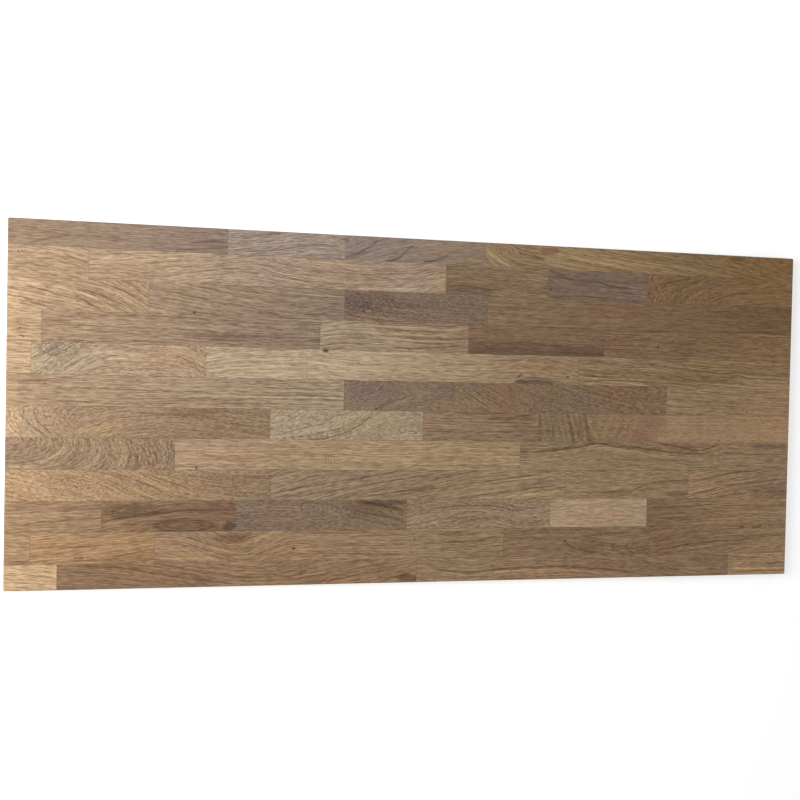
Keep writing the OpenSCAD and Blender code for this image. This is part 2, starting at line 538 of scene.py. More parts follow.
def row_2():
    return [
        dict(tones=(TAN, TAN), level=(1.42, 1.26), guide=[(0, 66), (60, 68), (125, 78)],
             draw=[pin(17, 52.5), pin(22.5, 52.5),
                   line([(84, 51), (104, 61), (125, 67)], 0.9, 0.6)]),
        dict(tones=(STRAW, ROSE), level=(1.09, 1.26), bands=0.20,
             guide=[(125, 80), (212, 77), (300, 69), (360, 62), (400, 63), (440, 70), (540, 79),
                    (600, 81), (660, 79), (722, 69)],
             draw=[stain_or_highlight(390, 68, 100, 32, (0.93, 0.96, 1.05), 0.8),
                   pale_line([(345, 54), (390, 57), (432, 69), (490, 75), (535, 82), (564, 91)], 1.4, 0.9),
                   pale_line([(212, 80), (270, 73), (332, 59)], 1.3, 0.8),
                   pale_line([(228, 89), (300, 82), (350, 80), (402, 88)], 1.2, 0.7),
                   pale_line([(128, 57), (200, 57), (300, 49)], 1.2, 0.6),
                   line([(250, 81), (300, 74), (345, 66), (380, 68)], 0.9, 0.6),
                   line([(392, 60), (440, 75), (500, 87), (532, 93)], 1.0, 0.7),
                   line([(420, 50), (480, 62), (560, 66), (640, 66)], 0.9, 0.5),
                   pale_line([(556, 91), (620, 90), (684, 86)], 1.8, 1.0),
                   stain_or_highlight(706, 72, 20, 22, (1.10, 1.06, 0.88), 0.7)]),
        dict(tones=(TAN, TAN), level=(0.79, 0.83), lines=0.6, guide=[(722, 70), (800, 68), (911, 70)],
             draw=[stain_or_highlight(762, 86, 54, 13, (0.76, 0.74, 0.76), 1.0, 0.25),
                   line([(786, 65), (830, 66), (872, 65)], 0.9, 0.7),
                   line([(722, 80), (760, 78), (800, 82), (840, 80)], 1.0, 0.7),
                   stain_or_highlight(870, 58, 50, 11, (1.08, 1.07, 1.02), 0.7),
                   speckle(880, 87, 13, 6, 0.7),
                   pin(800, 93.2)]),
        dict(tones=(SMOKE, PLUM), level=(0.97, 1.1), guide=[(911, 60), (950, 65), (1010, 67), (1101, 72)],
             streaks=0.7,
             draw=[line([(911, 47), (948, 58), (972, 61), (1010, 62), (1028, 67), (1078, 69)], 1.7, 1.0),
                   line([(911, 94), (937, 90), (1000, 89), (1052, 91)], 1.2, 0.8),
                   stain_or_highlight(960, 52, 40, 6, (1.12, 1.10, 1.10), 0.5),
                   stain_or_highlight(1060, 80, 44, 7, (0.92, 0.95, 0.98), 0.5),
                   knot(915, 78, 2.4, 1.8)]),
        dict(tones=(AMBER, AMBER), level=(0.89, 0.97), heart=0, depth=0,
             guide=[(1101, 112), (1290, 110), (1400, 102)], dive=(1290, 0.5, 190, 0), lines=0.6, bands=0.18,
             draw=[stain_or_highlight(1340, 68, 90, 34, (1.0, 0.97, 0.88), 0.9),
                   line([(1132, 43), (1112, 57), (1106, 73), (1107, 89)], 1.3, 0.6),
                   line([(1120, 64), (1145, 56), (1175, 50), (1194, 44)], 1.3, 0.8),
                   line([(1144, 90), (1157, 73), (1180, 62), (1214, 49)], 1.3, 0.8),
                   line([(1188, 92), (1210, 76), (1230, 65), (1250, 52)], 1.2, 0.8),
                   line([(1222, 92), (1250, 81), (1276, 73), (1310, 68)], 1.1, 0.7),
                   pale_line([(1150, 90), (1170, 72), (1200, 59), (1236, 47)], 1.3, 0.6),
                   pale_line([(1200, 90), (1226, 73), (1262, 58)], 1.3, 0.6),
                   stain_or_highlight(1330, 56, 70, 12, (1.08, 0.97, 0.86), 0.7)]),
    ]


def row_3():
    return [
        dict(tones=(TAN, TAN), level=(1.5, 1.22), lines=1.0, bands=0.18,
             guide=[(0, 92), (60, 102), (100, 108), (140, 118), (180, 133), (220, 156)],
             draw=[line([(20, 107), (50, 112), (82, 122), (120, 131), (150, 145)], 1.0, 0.7),
                   line([(98, 116), (120, 129), (135, 137), (149, 145)], 1.6, 0.9),
                   line([(20, 97), (62, 102), (100, 107), (140, 117), (175, 126), (214, 145)], 0.9, 0.7),
                   line([(20, 125), (50, 137), (73, 145)], 1.0, 0.7),
                   line([(75, 95), (120, 99), (170, 108), (217, 129)], 0.9, 0.7),
                   line([(120, 112), (155, 124), (190, 145)], 0.9, 0.7),
                   pale_line([(110, 115), (140, 126), (168, 145)], 1.2, 0.9),
                   pale_line([(20, 102), (80, 109), (130, 122), (160, 140)], 1.0, 0.8),
                   pale_line([(24, 131), (44, 140), (60, 145)], 1.1, 0.7),
                   pale_line([(90, 98), (150, 108), (200, 127)], 1.0, 0.7),
                   # painted highlight along the panel's left end
                   stain_or_highlight(8, 132, 12, 13, (1.22, 1.20, 1.10), 1.0),
                   stain_or_highlight(150, 120, 60, 22, (0.92, 0.89, 0.95), 0.6)]),
        dict(tones=(STRAW, ROSE), level=(0.89, 0.87),
             guide=[(220, 100), (300, 114), (390, 127), (470, 133), (544, 134)],
             draw=[line([(222, 105), (287, 114), (328, 122)], 1.0, 0.7),
                   line([(222, 129), (290, 140), (358, 147)], 1.0, 0.7),
                   line([(345, 124), (392, 132), (440, 143)], 1.0, 0.6),
                   line([(400, 101), (470, 106), (544, 108)], 0.8, 0.5),
                   pale_line([(345, 96), (430, 102), (542, 107)], 1.2, 1.0),
                   pale_line([(235, 133), (290, 143), (330, 146)], 0.9, 0.5),
                   knot(293, 141.7, 3.2, 2.2)]),
        dict(tones=(PLUM, SMOKE), level=(1.04, 0.97), drift=3.0, fleck=7,
             guide=[(544, 112), (640, 124), (799, 128)],
             draw=[speckle(590, 117, 66, 26, 1.0),
                   speckle(690, 122, 110, 24, 0.35),
                   arcs(596, 116, 22, 13, 6, 4, -5, 0.3),
                   stain_or_highlight(566, 114, 34, 16, (0.74, 0.74, 0.80), 0.9),
                   stain_or_highlight(600, 141, 60, 5, (1.25, 1.18, 1.12), 0.9),
                   pale_line([(545, 139), (565, 142), (595, 144.5)], 1.2, 0.9),
                   line([(545, 134), (575, 140), (640, 144)], 1.1, 0.9),
                   pale_line([(560, 134), (620, 139), (680, 140)], 1.0, 0.6),
                   line([(762, 110), (780, 112), (799, 113)], 1.0, 0.6)]),
        dict(tones=(TAN, AMBER), level=(0.82, 0.77), streaks=0.75, lines=0.6,
             guide=[(799, 118), (1000, 120), (1400, 124)],
             draw=[stain_or_highlight(1345, 118, 90, 34, (0.98, 0.94, 0.85), 0.9),
                   line([(799, 113), (840, 114), (878, 112)], 1.0, 0.8),
                   line([(1215, 144), (1285, 143), (1350, 142), (1398, 144)], 1.0, 0.9),
                   stain_or_highlight(1050, 118, 70, 26, (1.07, 0.95, 0.98), 0.7),
                   stain_or_highlight(1345, 128, 42, 10, (0.92, 0.96, 0.86), 0.7),
                   stain_or_highlight(1250, 112, 70, 8, SHADE, 0.4)]),
    ]


def row_4():
    return [
        dict(tones=(WHEAT, WHEAT), level=(1.31, 1.31),
             draw=[pin(21.5, 175), pin(22, 187.5), pin(26, 189),
                   # painted highlight along the panel's left end
                   stain_or_highlight(7, 171, 11, 32, (1.14, 1.13, 1.08), 0.8)]),
        dict(tones=(TAN, ROSE), level=(1.14, 0.98), guide=[(53, 169), (200, 171), (350, 176), (503, 177)],
             draw=[stain_or_highlight(59, 177.5, 5, 1.8, SHADE, 1.0),
                   stain_or_highlight(400, 182, 130, 15, (0.86, 0.82, 0.84), 0.7),
                   line([(310, 186), (345, 187), (380, 185)], 1.5, 0.8),
                   line([(335, 157), (352, 158), (370, 157)], 1.2, 0.7),
                   line([(484, 182), (495, 180), (503, 181)], 1.8, 0.9),
                   line([(330, 174), (400, 178), (503, 177)], 0.9, 0.6),
                   line([(60, 152), (120, 154), (200, 150), (320, 151)], 0.9, 0.6),
                   line([(80, 192), (160, 194), (240, 191), (300, 195)], 0.9, 0.6)]),
        dict(tones=(SAND, STRAW), level=(0.88, 0.88), bands=0.26, lines=0.95,
             guide=[(503, 178), (560, 171), (610, 174), (690, 176), (765, 172)],
             draw=[line([(510, 191), (536, 185), (562, 186), (600, 184)], 1.1, 0.9),
                   line([(620, 189), (665, 191), (700, 189), (732, 186), (764, 182)], 1.2, 1.0),
                   line([(640, 172), (690, 174), (765, 171)], 1.3, 0.9),
                   line([(600, 163), (680, 160), (765, 164)], 1.0, 0.7),
                   line([(660, 181), (710, 181), (765, 177)], 1.0, 0.7),
                   pale_line([(560, 168), (620, 167), (700, 167), (765, 167)], 1.3, 0.7),
                   pale_line([(503, 172), (530, 166), (560, 164)], 1.2, 0.9),
                   pale_line([(503, 180), (525, 175), (552, 173)], 1.2, 0.8),
                   stain_or_highlight(660, 149, 130, 4, SHADE, 0.8),
                   stain_or_highlight(522, 192, 10, 4, (0.96, 0.84, 0.82), 0.7),
                   knot(514, 199.5, 6.5, 3.5)]),
        dict(tones=(BROWN, BROWN), level=(0.86, 0.84), streaks=0.75, guide=[(765, 170), (1020, 172)],
             draw=[stain_or_highlight(890, 200, 270, 29, (0.70, 0.67, 0.72), 1.0, 0.12),
                   line([(768, 178), (860, 177), (950, 180)], 1.1, 0.7)]),
        dict(tones=(BROWN, AMBER), level=(0.84, 1.09), guide=[(1020, 168), (1200, 171), (1400, 176)],
             draw=[knot(1126.5, 175, 2.8, 2.4),
                   line([(1084, 147.5), (1130, 146.5), (1180, 147), (1230, 146.5)], 1.1, 0.9),
                   stain_or_highlight(1045, 174, 26, 16, (1.10, 0.90, 0.86), 0.6),
                   stain_or_highlight(1210, 172, 80, 34, (0.92, 0.91, 0.87), 0.8)]),
    ]


def row_5():
    return [
        dict(tones=(TAN, TAN), level=(1.5, 1.57), guide=[(0, 220), (38, 222)],
             # painted highlight along the panel's left end
             draw=[stain_or_highlight(7, 222, 11, 32, (1.06, 1.06, 1.0), 0.8)]),
        dict(tones=(SAND, STRAW), level=(0.96, 1.02), lines=0.8, fleck=11,
             guide=[(38, 262), (62, 246), (100, 222), (130, 208), (165, 203), (205, 207), (240, 201),
                    (275, 206), (313, 228)],
             draw=[stain_or_highlight(80, 208, 30, 17, (0.86, 0.87, 0.88), 0.8, 0.5),
                   stain_or_highlight(78, 207, 14, 13, (0.78, 0.80, 0.82), 0.9, 0.4),
                   speckle(84, 206, 46, 17, 0.9),
                   ring_line(79, 206, 27, 14, 1.4, 0.4),
                   stain_or_highlight(42, 224, 12, 20, (1.12, 1.10, 0.98), 0.8),
                   line([(55, 246), (64, 234), (76, 226)], 1.0, 0.8),
                   line([(86, 243), (104, 229), (120, 220), (134, 212)], 1.0, 0.9),
                   line([(72, 246), (90, 231), (108, 219)], 0.9, 0.8),
                   line([(104, 247), (125, 231), (150, 220), (180, 216)], 0.9, 0.8),
                   line([(124, 247), (146, 233), (176, 226), (214, 228)], 0.9, 0.7),
                   pale_line([(94, 245), (112, 230), (132, 220)], 1.2, 0.8),
                   pale_line([(112, 247), (134, 232), (160, 223), (196, 221)], 1.1, 0.7),
                   line([(180, 243), (210, 237), (240, 239), (275, 244)], 0.9, 0.7),
                   line([(190, 232), (222, 226), (255, 229), (290, 238)], 0.9, 0.7),
                   line([(275, 218), (292, 226), (313, 236)], 1.0, 0.8),
                   line([(283, 231), (298, 235), (313, 243)], 0.9, 0.6),
                   stain_or_highlight(235, 216, 70, 20, (1.02, 0.95, 0.90), 0.7)]),
        dict(tones=(SAND, SAND), level=(1.06, 1.06), streaks=0.75,
             guide=[(313, 232), (360, 224), (420, 222), (481, 220)],
             draw=[speckle(455, 210, 20, 8, 0.5),
                   stain_or_highlight(380, 238, 60, 8, (1.05, 0.97, 0.90), 0.6)]),
        dict(tones=(SAND, WHEAT), level=(1.14, 0.94), streaks=0.75,
             guide=[(481, 214), (560, 222), (640, 224), (760, 226), (880, 220), (972, 230)],
             bends=[(862, 233, 14, 6, 2, 0), (951, 233, 14, 6, 2, 0)],
             draw=[knot(513, 198.5, 6.0, 3.6),
                   line([(857, 237), (862, 234), (867, 230)], 1.8, 1.3, DARK_FLECK), knot(952, 234, 2.8, 2.0),
                   stain_or_highlight(890, 246.5, 40, 8.0, (0.44, 0.46, 0.54), 1.0, 0.1),
                   stain_or_highlight(866, 245, 14, 4.5, (0.55, 0.55, 0.60), 0.8, 0.2),
                   line([(843, 249), (858, 243), (876, 238), (905, 238), (930, 243), (950, 248)], 1.1, 1.0),
                   pale_line([(836, 248), (852, 241), (872, 235.5), (905, 235), (940, 242)], 1.2, 0.6),
                   line([(700, 212), (760, 216), (800, 213)], 0.9, 0.5),
                   stain_or_highlight(760, 222, 60, 14, (1.03, 1.06, 1.03), 0.7),
                   stain_or_highlight(900, 216, 90, 12, (1.08, 0.98, 0.90), 0.6)]),
        dict(tones=(WHEAT, HONEY), level=(0.93, 0.92), lines=1.3, bands=0.12, streaks=0.85, drift=1.2,
             guide=[(972, 214), (1100, 222), (1230, 231), (1400, 238)],
             bends=[(1292, 228, 14, 15, 0, 4)],
             draw=[stain_or_highlight(1230, 226, 90, 30, (0.88, 0.87, 0.82), 0.9),
                   stain_or_highlight(990, 242, 26, 9, (1.16, 1.20, 1.20), 0.7),
                   stain_or_highlight(1215, 205, 40, 7, (1.02, 1.06, 0.84), 0.8),
                   pale_line([(972, 247), (1030, 243), (1110, 246)], 1.4, 0.9),
                   pale_line([(972, 236), (1050, 236), (1150, 239)], 1.2, 0.8),
                   line([(972, 241), (1050, 239), (1130, 242)], 1.0, 0.9),
                   line([(972, 232), (1050, 233), (1180, 236)], 1.0, 0.8),
                   line([(972, 226), (1080, 227), (1190, 230)], 0.9, 0.7),
                   line([(1040, 203), (1130, 209), (1230, 219), (1270, 223)], 0.9, 0.7)]),
    ]


def row_6():
    return [
        dict(tones=(TAN, SAND), level=(1.21, 0.81), bands=0.10, lines=0.7,
             guide=[(0, 274), (120, 275), (300, 273), (546, 276)],
             draw=[pin(60, 263.5),
                   line([(15, 294), (48, 289), (90, 292), (125, 292), (178, 287), (275, 285), (400, 288)], 1.1, 0.6),
                   line([(130, 298), (215, 294), (290, 293)], 1.0, 0.5),
                   line([(0, 261), (48, 260), (76, 255), (126, 249)], 0.9, 0.7),
                   line([(70, 273), (150, 271), (230, 273), (330, 272)], 0.9, 0.5),
                   line([(380, 273), (450, 272), (546, 273)], 0.8, 0.6),
                   line([(420, 277.5), (480, 276), (546, 276.5)], 0.9, 0.8),
                   line([(350, 284), (440, 283), (546, 283)], 0.9, 0.6),
                   line([(330, 292), (440, 291), (546, 293)], 1.0, 0.7),
                   line([(390, 263), (460, 265), (546, 265)], 0.8, 0.6),
                   pale_line([(400, 269), (470, 269), (546, 270)], 1.2, 0.8),
                   pale_line([(390, 280), (470, 280), (546, 280)], 1.1, 0.8),
                   pale_line([(240, 257), (280, 257), (300, 259)], 1.2, 0.6),
                   stain_or_highlight(290, 291, 120, 9, (0.92, 0.86, 0.86), 0.7),
                   # painted highlight along the panel's left end
                   stain_or_highlight(7, 274, 13, 34, (1.24, 1.22, 1.14), 0.9, 0.2)]),
        dict(tones=(SMOKE, BROWN), level=(0.99, 0.87), lines=0.5, streaks=0.85, bands=0.07, fleck=8,
             guide=[(546, 330), (600, 300), (650, 276), (700, 264), (742, 266), (790, 292), (850, 326),
                    (920, 356), (1000, 380), (1146, 410)],
             draw=[flecks(620, 276, 100, 30, 0.75, 0.9), flecks(1070, 280, 90, 26, -0.4, 0.6),
                   stain_or_highlight(590, 268, 60, 24, (0.90, 0.88, 0.96), 0.8),
                   stain_or_highlight(550, 274, 9, 30, (1.10, 1.12, 0.96), 0.8),
                   line([(599, 299), (614, 290), (632, 278)], 1.3, 0.7),
                   pale_line([(546, 288), (566, 281), (590, 274)], 1.3, 0.8),
                   pale_line([(626, 296), (642, 287), (664, 277)], 1.3, 0.8),
                   stain_or_highlight(832, 274, 50, 40, (1.10, 0.99, 0.88), 0.8),
                   stain_or_highlight(895, 282, 24, 20, (1.06, 0.97, 0.90), 0.7),
                   stain_or_highlight(912, 260, 22, 14, (0.97, 1.03, 0.84), 0.8),
                   stain_or_highlight(958, 276, 50, 30, (0.96, 1.0, 1.06), 0.8),
                   stain_or_highlight(1040, 266, 40, 16, (1.06, 0.94, 0.94), 0.8),
                   stain_or_highlight(1112, 288, 50, 12, (1.0, 1.06, 1.02), 0.7),
                   stain_or_highlight(764, 272, 20, 14, (1.04, 1.07, 0.90), 0.8),
                   stain_or_highlight(730, 290, 60, 12, (1.14, 1.14, 1.04), 0.8),
                   stain_or_highlight(725, 262, 24, 10, (0.86, 0.88, 0.96), 0.8),
                   pale_line([(740, 262), (768, 280), (800, 292), (832, 299)], 1.3, 1.0),
                   pale_line([(745, 254), (770, 268), (800, 286), (820, 298)], 1.2, 1.0),
                   pale_line([(757, 250), (785, 270), (822, 288)], 1.1, 0.9),
                   pale_line([(740, 272), (762, 284), (790, 292)], 1.2, 0.8),
                   line([(752, 256), (780, 276), (812, 296)], 1.0, 0.9),
                   line([(770, 258), (800, 276), (838, 292)], 1.0, 0.8),
                   line([(800, 254), (830, 270), (862, 286)], 1.0, 0.7),
                   arcs(700, 262, 16, 9, 5, 3, 0, 0.4)]),
        dict(tones=(WHEAT, HONEY), level=(1.0, 0.99), streaks=0.75,
             guide=[(1146, 268), (1280, 273), (1400, 276)],
             draw=[knot(1309.5, 292, 2.0, 1.6),
                   line([(1150, 293), (1180, 296), (1230, 298)], 1.0, 0.6)]),
    ]


def row_7():
    return [
        dict(tones=(STRAW, TAN), level=(1.2, 1.02), heart=0, depth=0, lines=0.3, bands=0.07,
             guide=[(0, 312), (60, 313), (107, 318)], dive=(138, 0.46, 138, 0),
             draw=[line([(29, 300), (27, 312), (28, 325)], 1.6, 1.0),
                   line([(27, 323), (44, 335), (62, 349)], 1.6, 1.0),
                   line([(46, 300), (44, 312), (50, 325), (62, 337), (74, 350)], 1.5, 0.9),
                   pale_line([(22, 302), (21, 318), (30, 333)], 1.6, 0.6),
                   # painted highlight along the panel's left end
                   stain_or_highlight(8, 322, 17, 30, (1.18, 1.14, 1.02), 0.9, 0.25),
                   stain_or_highlight(85, 322, 26, 28, (1.0, 0.93, 0.96), 0.7)]),
        dict(tones=(TAN, TAN), level=(1.09, 0.88), bands=0.18, fleck=9,
             guide=[(107, 346), (150, 330), (200, 322), (300, 320), (421, 332)],
             draw=[line([(107, 343), (140, 330), (170, 320), (240, 313)], 1.0, 0.4),
                   line([(150, 306), (220, 309), (275, 311), (330, 307)], 1.2, 0.7),
                   line([(180, 341), (240, 335), (310, 338)], 1.0, 0.6),
                   stain_or_highlight(300, 308, 60, 10, SHADE, 0.6),
                   stain_or_highlight(150, 336, 50, 14, (1.10, 1.06, 0.96), 0.7),
                   stain_or_highlight(350, 335, 60, 14, (0.88, 0.86, 0.88), 0.7)]),
        dict(tones=(SAND, SAND), level=(0.9, 0.88), lines=0.6, streaks=0.95, fleck=7,
             guide=[(421, 352), (485, 344), (530, 334), (570, 318), (600, 298), (640, 288), (686, 284)],
             draw=[line([(478, 350), (525, 347), (562, 333), (590, 313), (602, 301)], 1.2, 1.0),
                   line([(425, 347), (480, 331), (526, 321)], 0.9, 0.8),
                   line([(440, 350), (500, 341), (548, 328), (578, 306)], 0.9, 0.7),
                   pale_line([(470, 340), (520, 332), (560, 320)], 1.3, 0.8),
                   pale_line([(540, 349), (580, 333), (606, 312)], 1.3, 0.7),
                   line([(600, 350), (640, 346), (686, 336)], 0.9, 0.7),
                   pale_line([(620, 349), (660, 342), (686, 338)], 1.4, 0.8),
                   stain_or_highlight(590, 318, 60, 20, (1.02, 1.03, 0.94), 0.7)]),
        dict(tones=(TAN, TAN), level=(0.94, 0.84), guide=[(686, 323), (899, 326)],
             draw=[line([(745, 301.5), (795, 302.5), (845, 301.5)], 1.2, 0.9),
                   line([(800, 311), (850, 308), (895, 301)], 1.2, 0.8),
                   line([(700, 318), (800, 317), (899, 322)], 0.9, 0.6),
                   line([(690, 334), (790, 335), (899, 332)], 0.9, 0.6),
                   stain_or_highlight(850, 312, 50, 8, SHADE, 0.5)]),
        dict(tones=(TAN, HONEY), level=(0.82, 1.19), lines=0.35, streaks=0.55, bands=0.08, fleck=10,
             guide=[(899, 326), (1150, 326), (1400, 326)],
             draw=[arcs(948, 326, 66, 40, 11, 2, -10, 0.35), arcs(985, 322, 40, 36, 17, 0, -14, 0.35),
                   line([(896, 292), (901, 322), (903, 360)], 2.2, 0.6),
                   line([(922, 290), (929, 314), (926, 332), (931, 362)], 2.4, 0.45),
                   line([(944, 290), (957, 312), (962, 334), (967, 362)], 2.8, 0.5),
                   line([(966, 290), (977, 308), (976, 328), (984, 362)], 2.6, 0.4),
                   line([(976, 290), (990, 316), (990, 332), (1004, 362)], 3.4, 0.5),
                   stain_or_highlight(944, 326, 7, 6, (1.22, 1.22, 1.05), 0.9),
                   stain_or_highlight(1000, 346, 10, 7, (0.80, 0.76, 0.80), 0.8),
                   stain_or_highlight(1017, 344, 6, 11, (0.86, 0.86, 0.74), 0.8),
                   stain_or_highlight(1012, 334, 22, 16, (1.10, 1.12, 1.04), 0.8),
                   stain_or_highlight(950, 322, 60, 30, (0.93, 0.95, 0.95), 0.6),
                   arcs(1050, 320, 60, 26, 17, 6, 8, 0.32),
                   stain_or_highlight(1060, 330, 60, 26, (1.0, 0.95, 0.92), 0.8),
                   stain_or_highlight(1098, 344, 26, 13, (0.84, 0.76, 0.80), 0.9, 0.5),
                   stain_or_highlight(1120, 312, 34, 17, (0.89, 0.84, 0.90), 0.9, 0.3),
                   stain_or_highlight(1168, 318, 34, 18, (1.13, 1.15, 1.15), 0.8),
                   stain_or_highlight(1150, 342, 40, 11, (1.15, 1.17, 1.10), 0.9),
                   stain_or_highlight(1230, 330, 60, 24, (1.02, 1.05, 1.06), 0.6),
                   stain_or_highlight(1375, 318, 26, 22, (1.06, 0.99, 0.98), 0.6)]),
    ]


def row_8():
    return [
        dict(tones=(TAN, TAN), level=(0.98, 0.98), heart=0, depth=0, lines=0.75, fleck=9,
             guide=[(0, 350), (120, 362), (190, 376), (265, 380)], dive=(-6, 0.46, 20, 272),
             draw=[pale_line([(0, 397), (38, 397), (70, 384), (92, 367), (101, 352)], 2.2, 1.2),
                   pale_line([(0, 398), (50, 399), (80, 394), (104, 380)], 1.8, 0.9),
                   pale_line([(157, 352), (168, 362), (172, 376), (168, 390), (160, 402)], 1.3, 0.9),
                   pale_line([(172, 352), (182, 363), (186, 376), (181, 390), (172, 402)], 1.3, 0.9),
                   line([(165, 352), (175, 363), (179, 376), (174, 390), (165, 402)], 1.0, 0.7),
                   line([(140, 352), (148, 364), (149, 378), (142, 392)], 1.0, 0.7),
                   line([(192, 353), (196, 366), (195, 380), (188, 396)], 1.0, 0.6),
                   arcs(228, 378, 34, 22, 8, 2, -9, 0.5),
                   stain_or_highlight(254, 375, 16, 18, (0.84, 0.90, 1.0), 0.8),
                   stain_or_highlight(25, 366, 34, 12, (1.02, 0.94, 0.98), 0.6)]),
        dict(tones=(STRAW, WHEAT), level=(1.02, 1.12), streaks=0.75, bands=0.08,
             guide=[(265, 376), (500, 377), (600, 380), (700, 378), (865, 380)],
             bends=[(545, 366, 30, 12, 0, 4)],
             draw=[knot(300.5, 400, 1.5, 3.4),
                   pale_line([(267, 370), (320, 368), (378, 367)], 1.2, 0.8),
                   pale_line([(267, 377), (330, 376), (400, 377)], 1.0, 0.5),
                   line([(267, 387), (330, 386), (390, 388)], 0.9, 0.5),
                   arcs(478, 381, 36, 12, 5.5, 3, 4, 0.22),
                   arcs(526, 384, 22, 16, 5, 0, 0, 0.25),
                   arcs(552, 366, 30, 14, 6, 0, -9, 0.25),
                   stain_or_highlight(340, 382, 80, 14, (1.04, 0.95, 0.92), 0.8),
                   stain_or_highlight(540, 356, 50, 6, (1.06, 0.98, 0.96), 0.7)]),
        dict(tones=(WHEAT, WHEAT), level=(0.93, 0.98), bands=0.12,
             guide=[(865, 382), (950, 378), (1010, 368), (1060, 370), (1130, 379), (1255, 384)],
             draw=[stain_or_highlight(925, 357, 70, 6, (0.88, 0.90, 0.98), 0.8, 0.15),
                   stain_or_highlight(873, 368, 10, 7, SHADE, 1.0, 0.2),
                   line([(865, 370), (912, 367.5), (962, 362), (985, 359.5), (1000, 354.5), (1024, 354.5),
                         (1037, 357.5), (1080, 360.5), (1125, 365), (1157, 369), (1200, 371), (1256, 371)],
                        2.0, 1.1),
                   line([(1118, 350), (1150, 355), (1178, 360), (1212, 365), (1236, 360), (1253, 354)], 1.6, 1.0),
                   line([(1238, 359), (1247, 355), (1254, 353.5)], 1.8, 0.9),
                   stain_or_highlight(1195, 356, 50, 6, (0.84, 0.78, 0.82), 0.8, 0.2),
                   pale_line([(985, 366), (1020, 361), (1060, 364), (1110, 372)], 1.3, 0.6),
                   line([(1100, 378), (1160, 384), (1250, 386)], 0.9, 0.5)]),
        dict(tones=(WHEAT, WHEAT), level=(0.93, 0.98), guide=[(1255, 376), (1320, 378), (1400, 378)],
             draw=[stain_or_highlight(1362, 357, 48, 5, (0.66, 0.66, 0.70), 0.9, 0.2),
                   line([(1255, 370.5), (1290, 370), (1325, 372), (1360, 373)], 1.6, 0.8),
                   stain_or_highlight(1361, 385, 9, 5.5, SHADE, 1.0, 0.6),
                   stain_or_highlight(1275, 357, 22, 6, (1.05, 1.02, 0.98), 0.6)]),
    ]


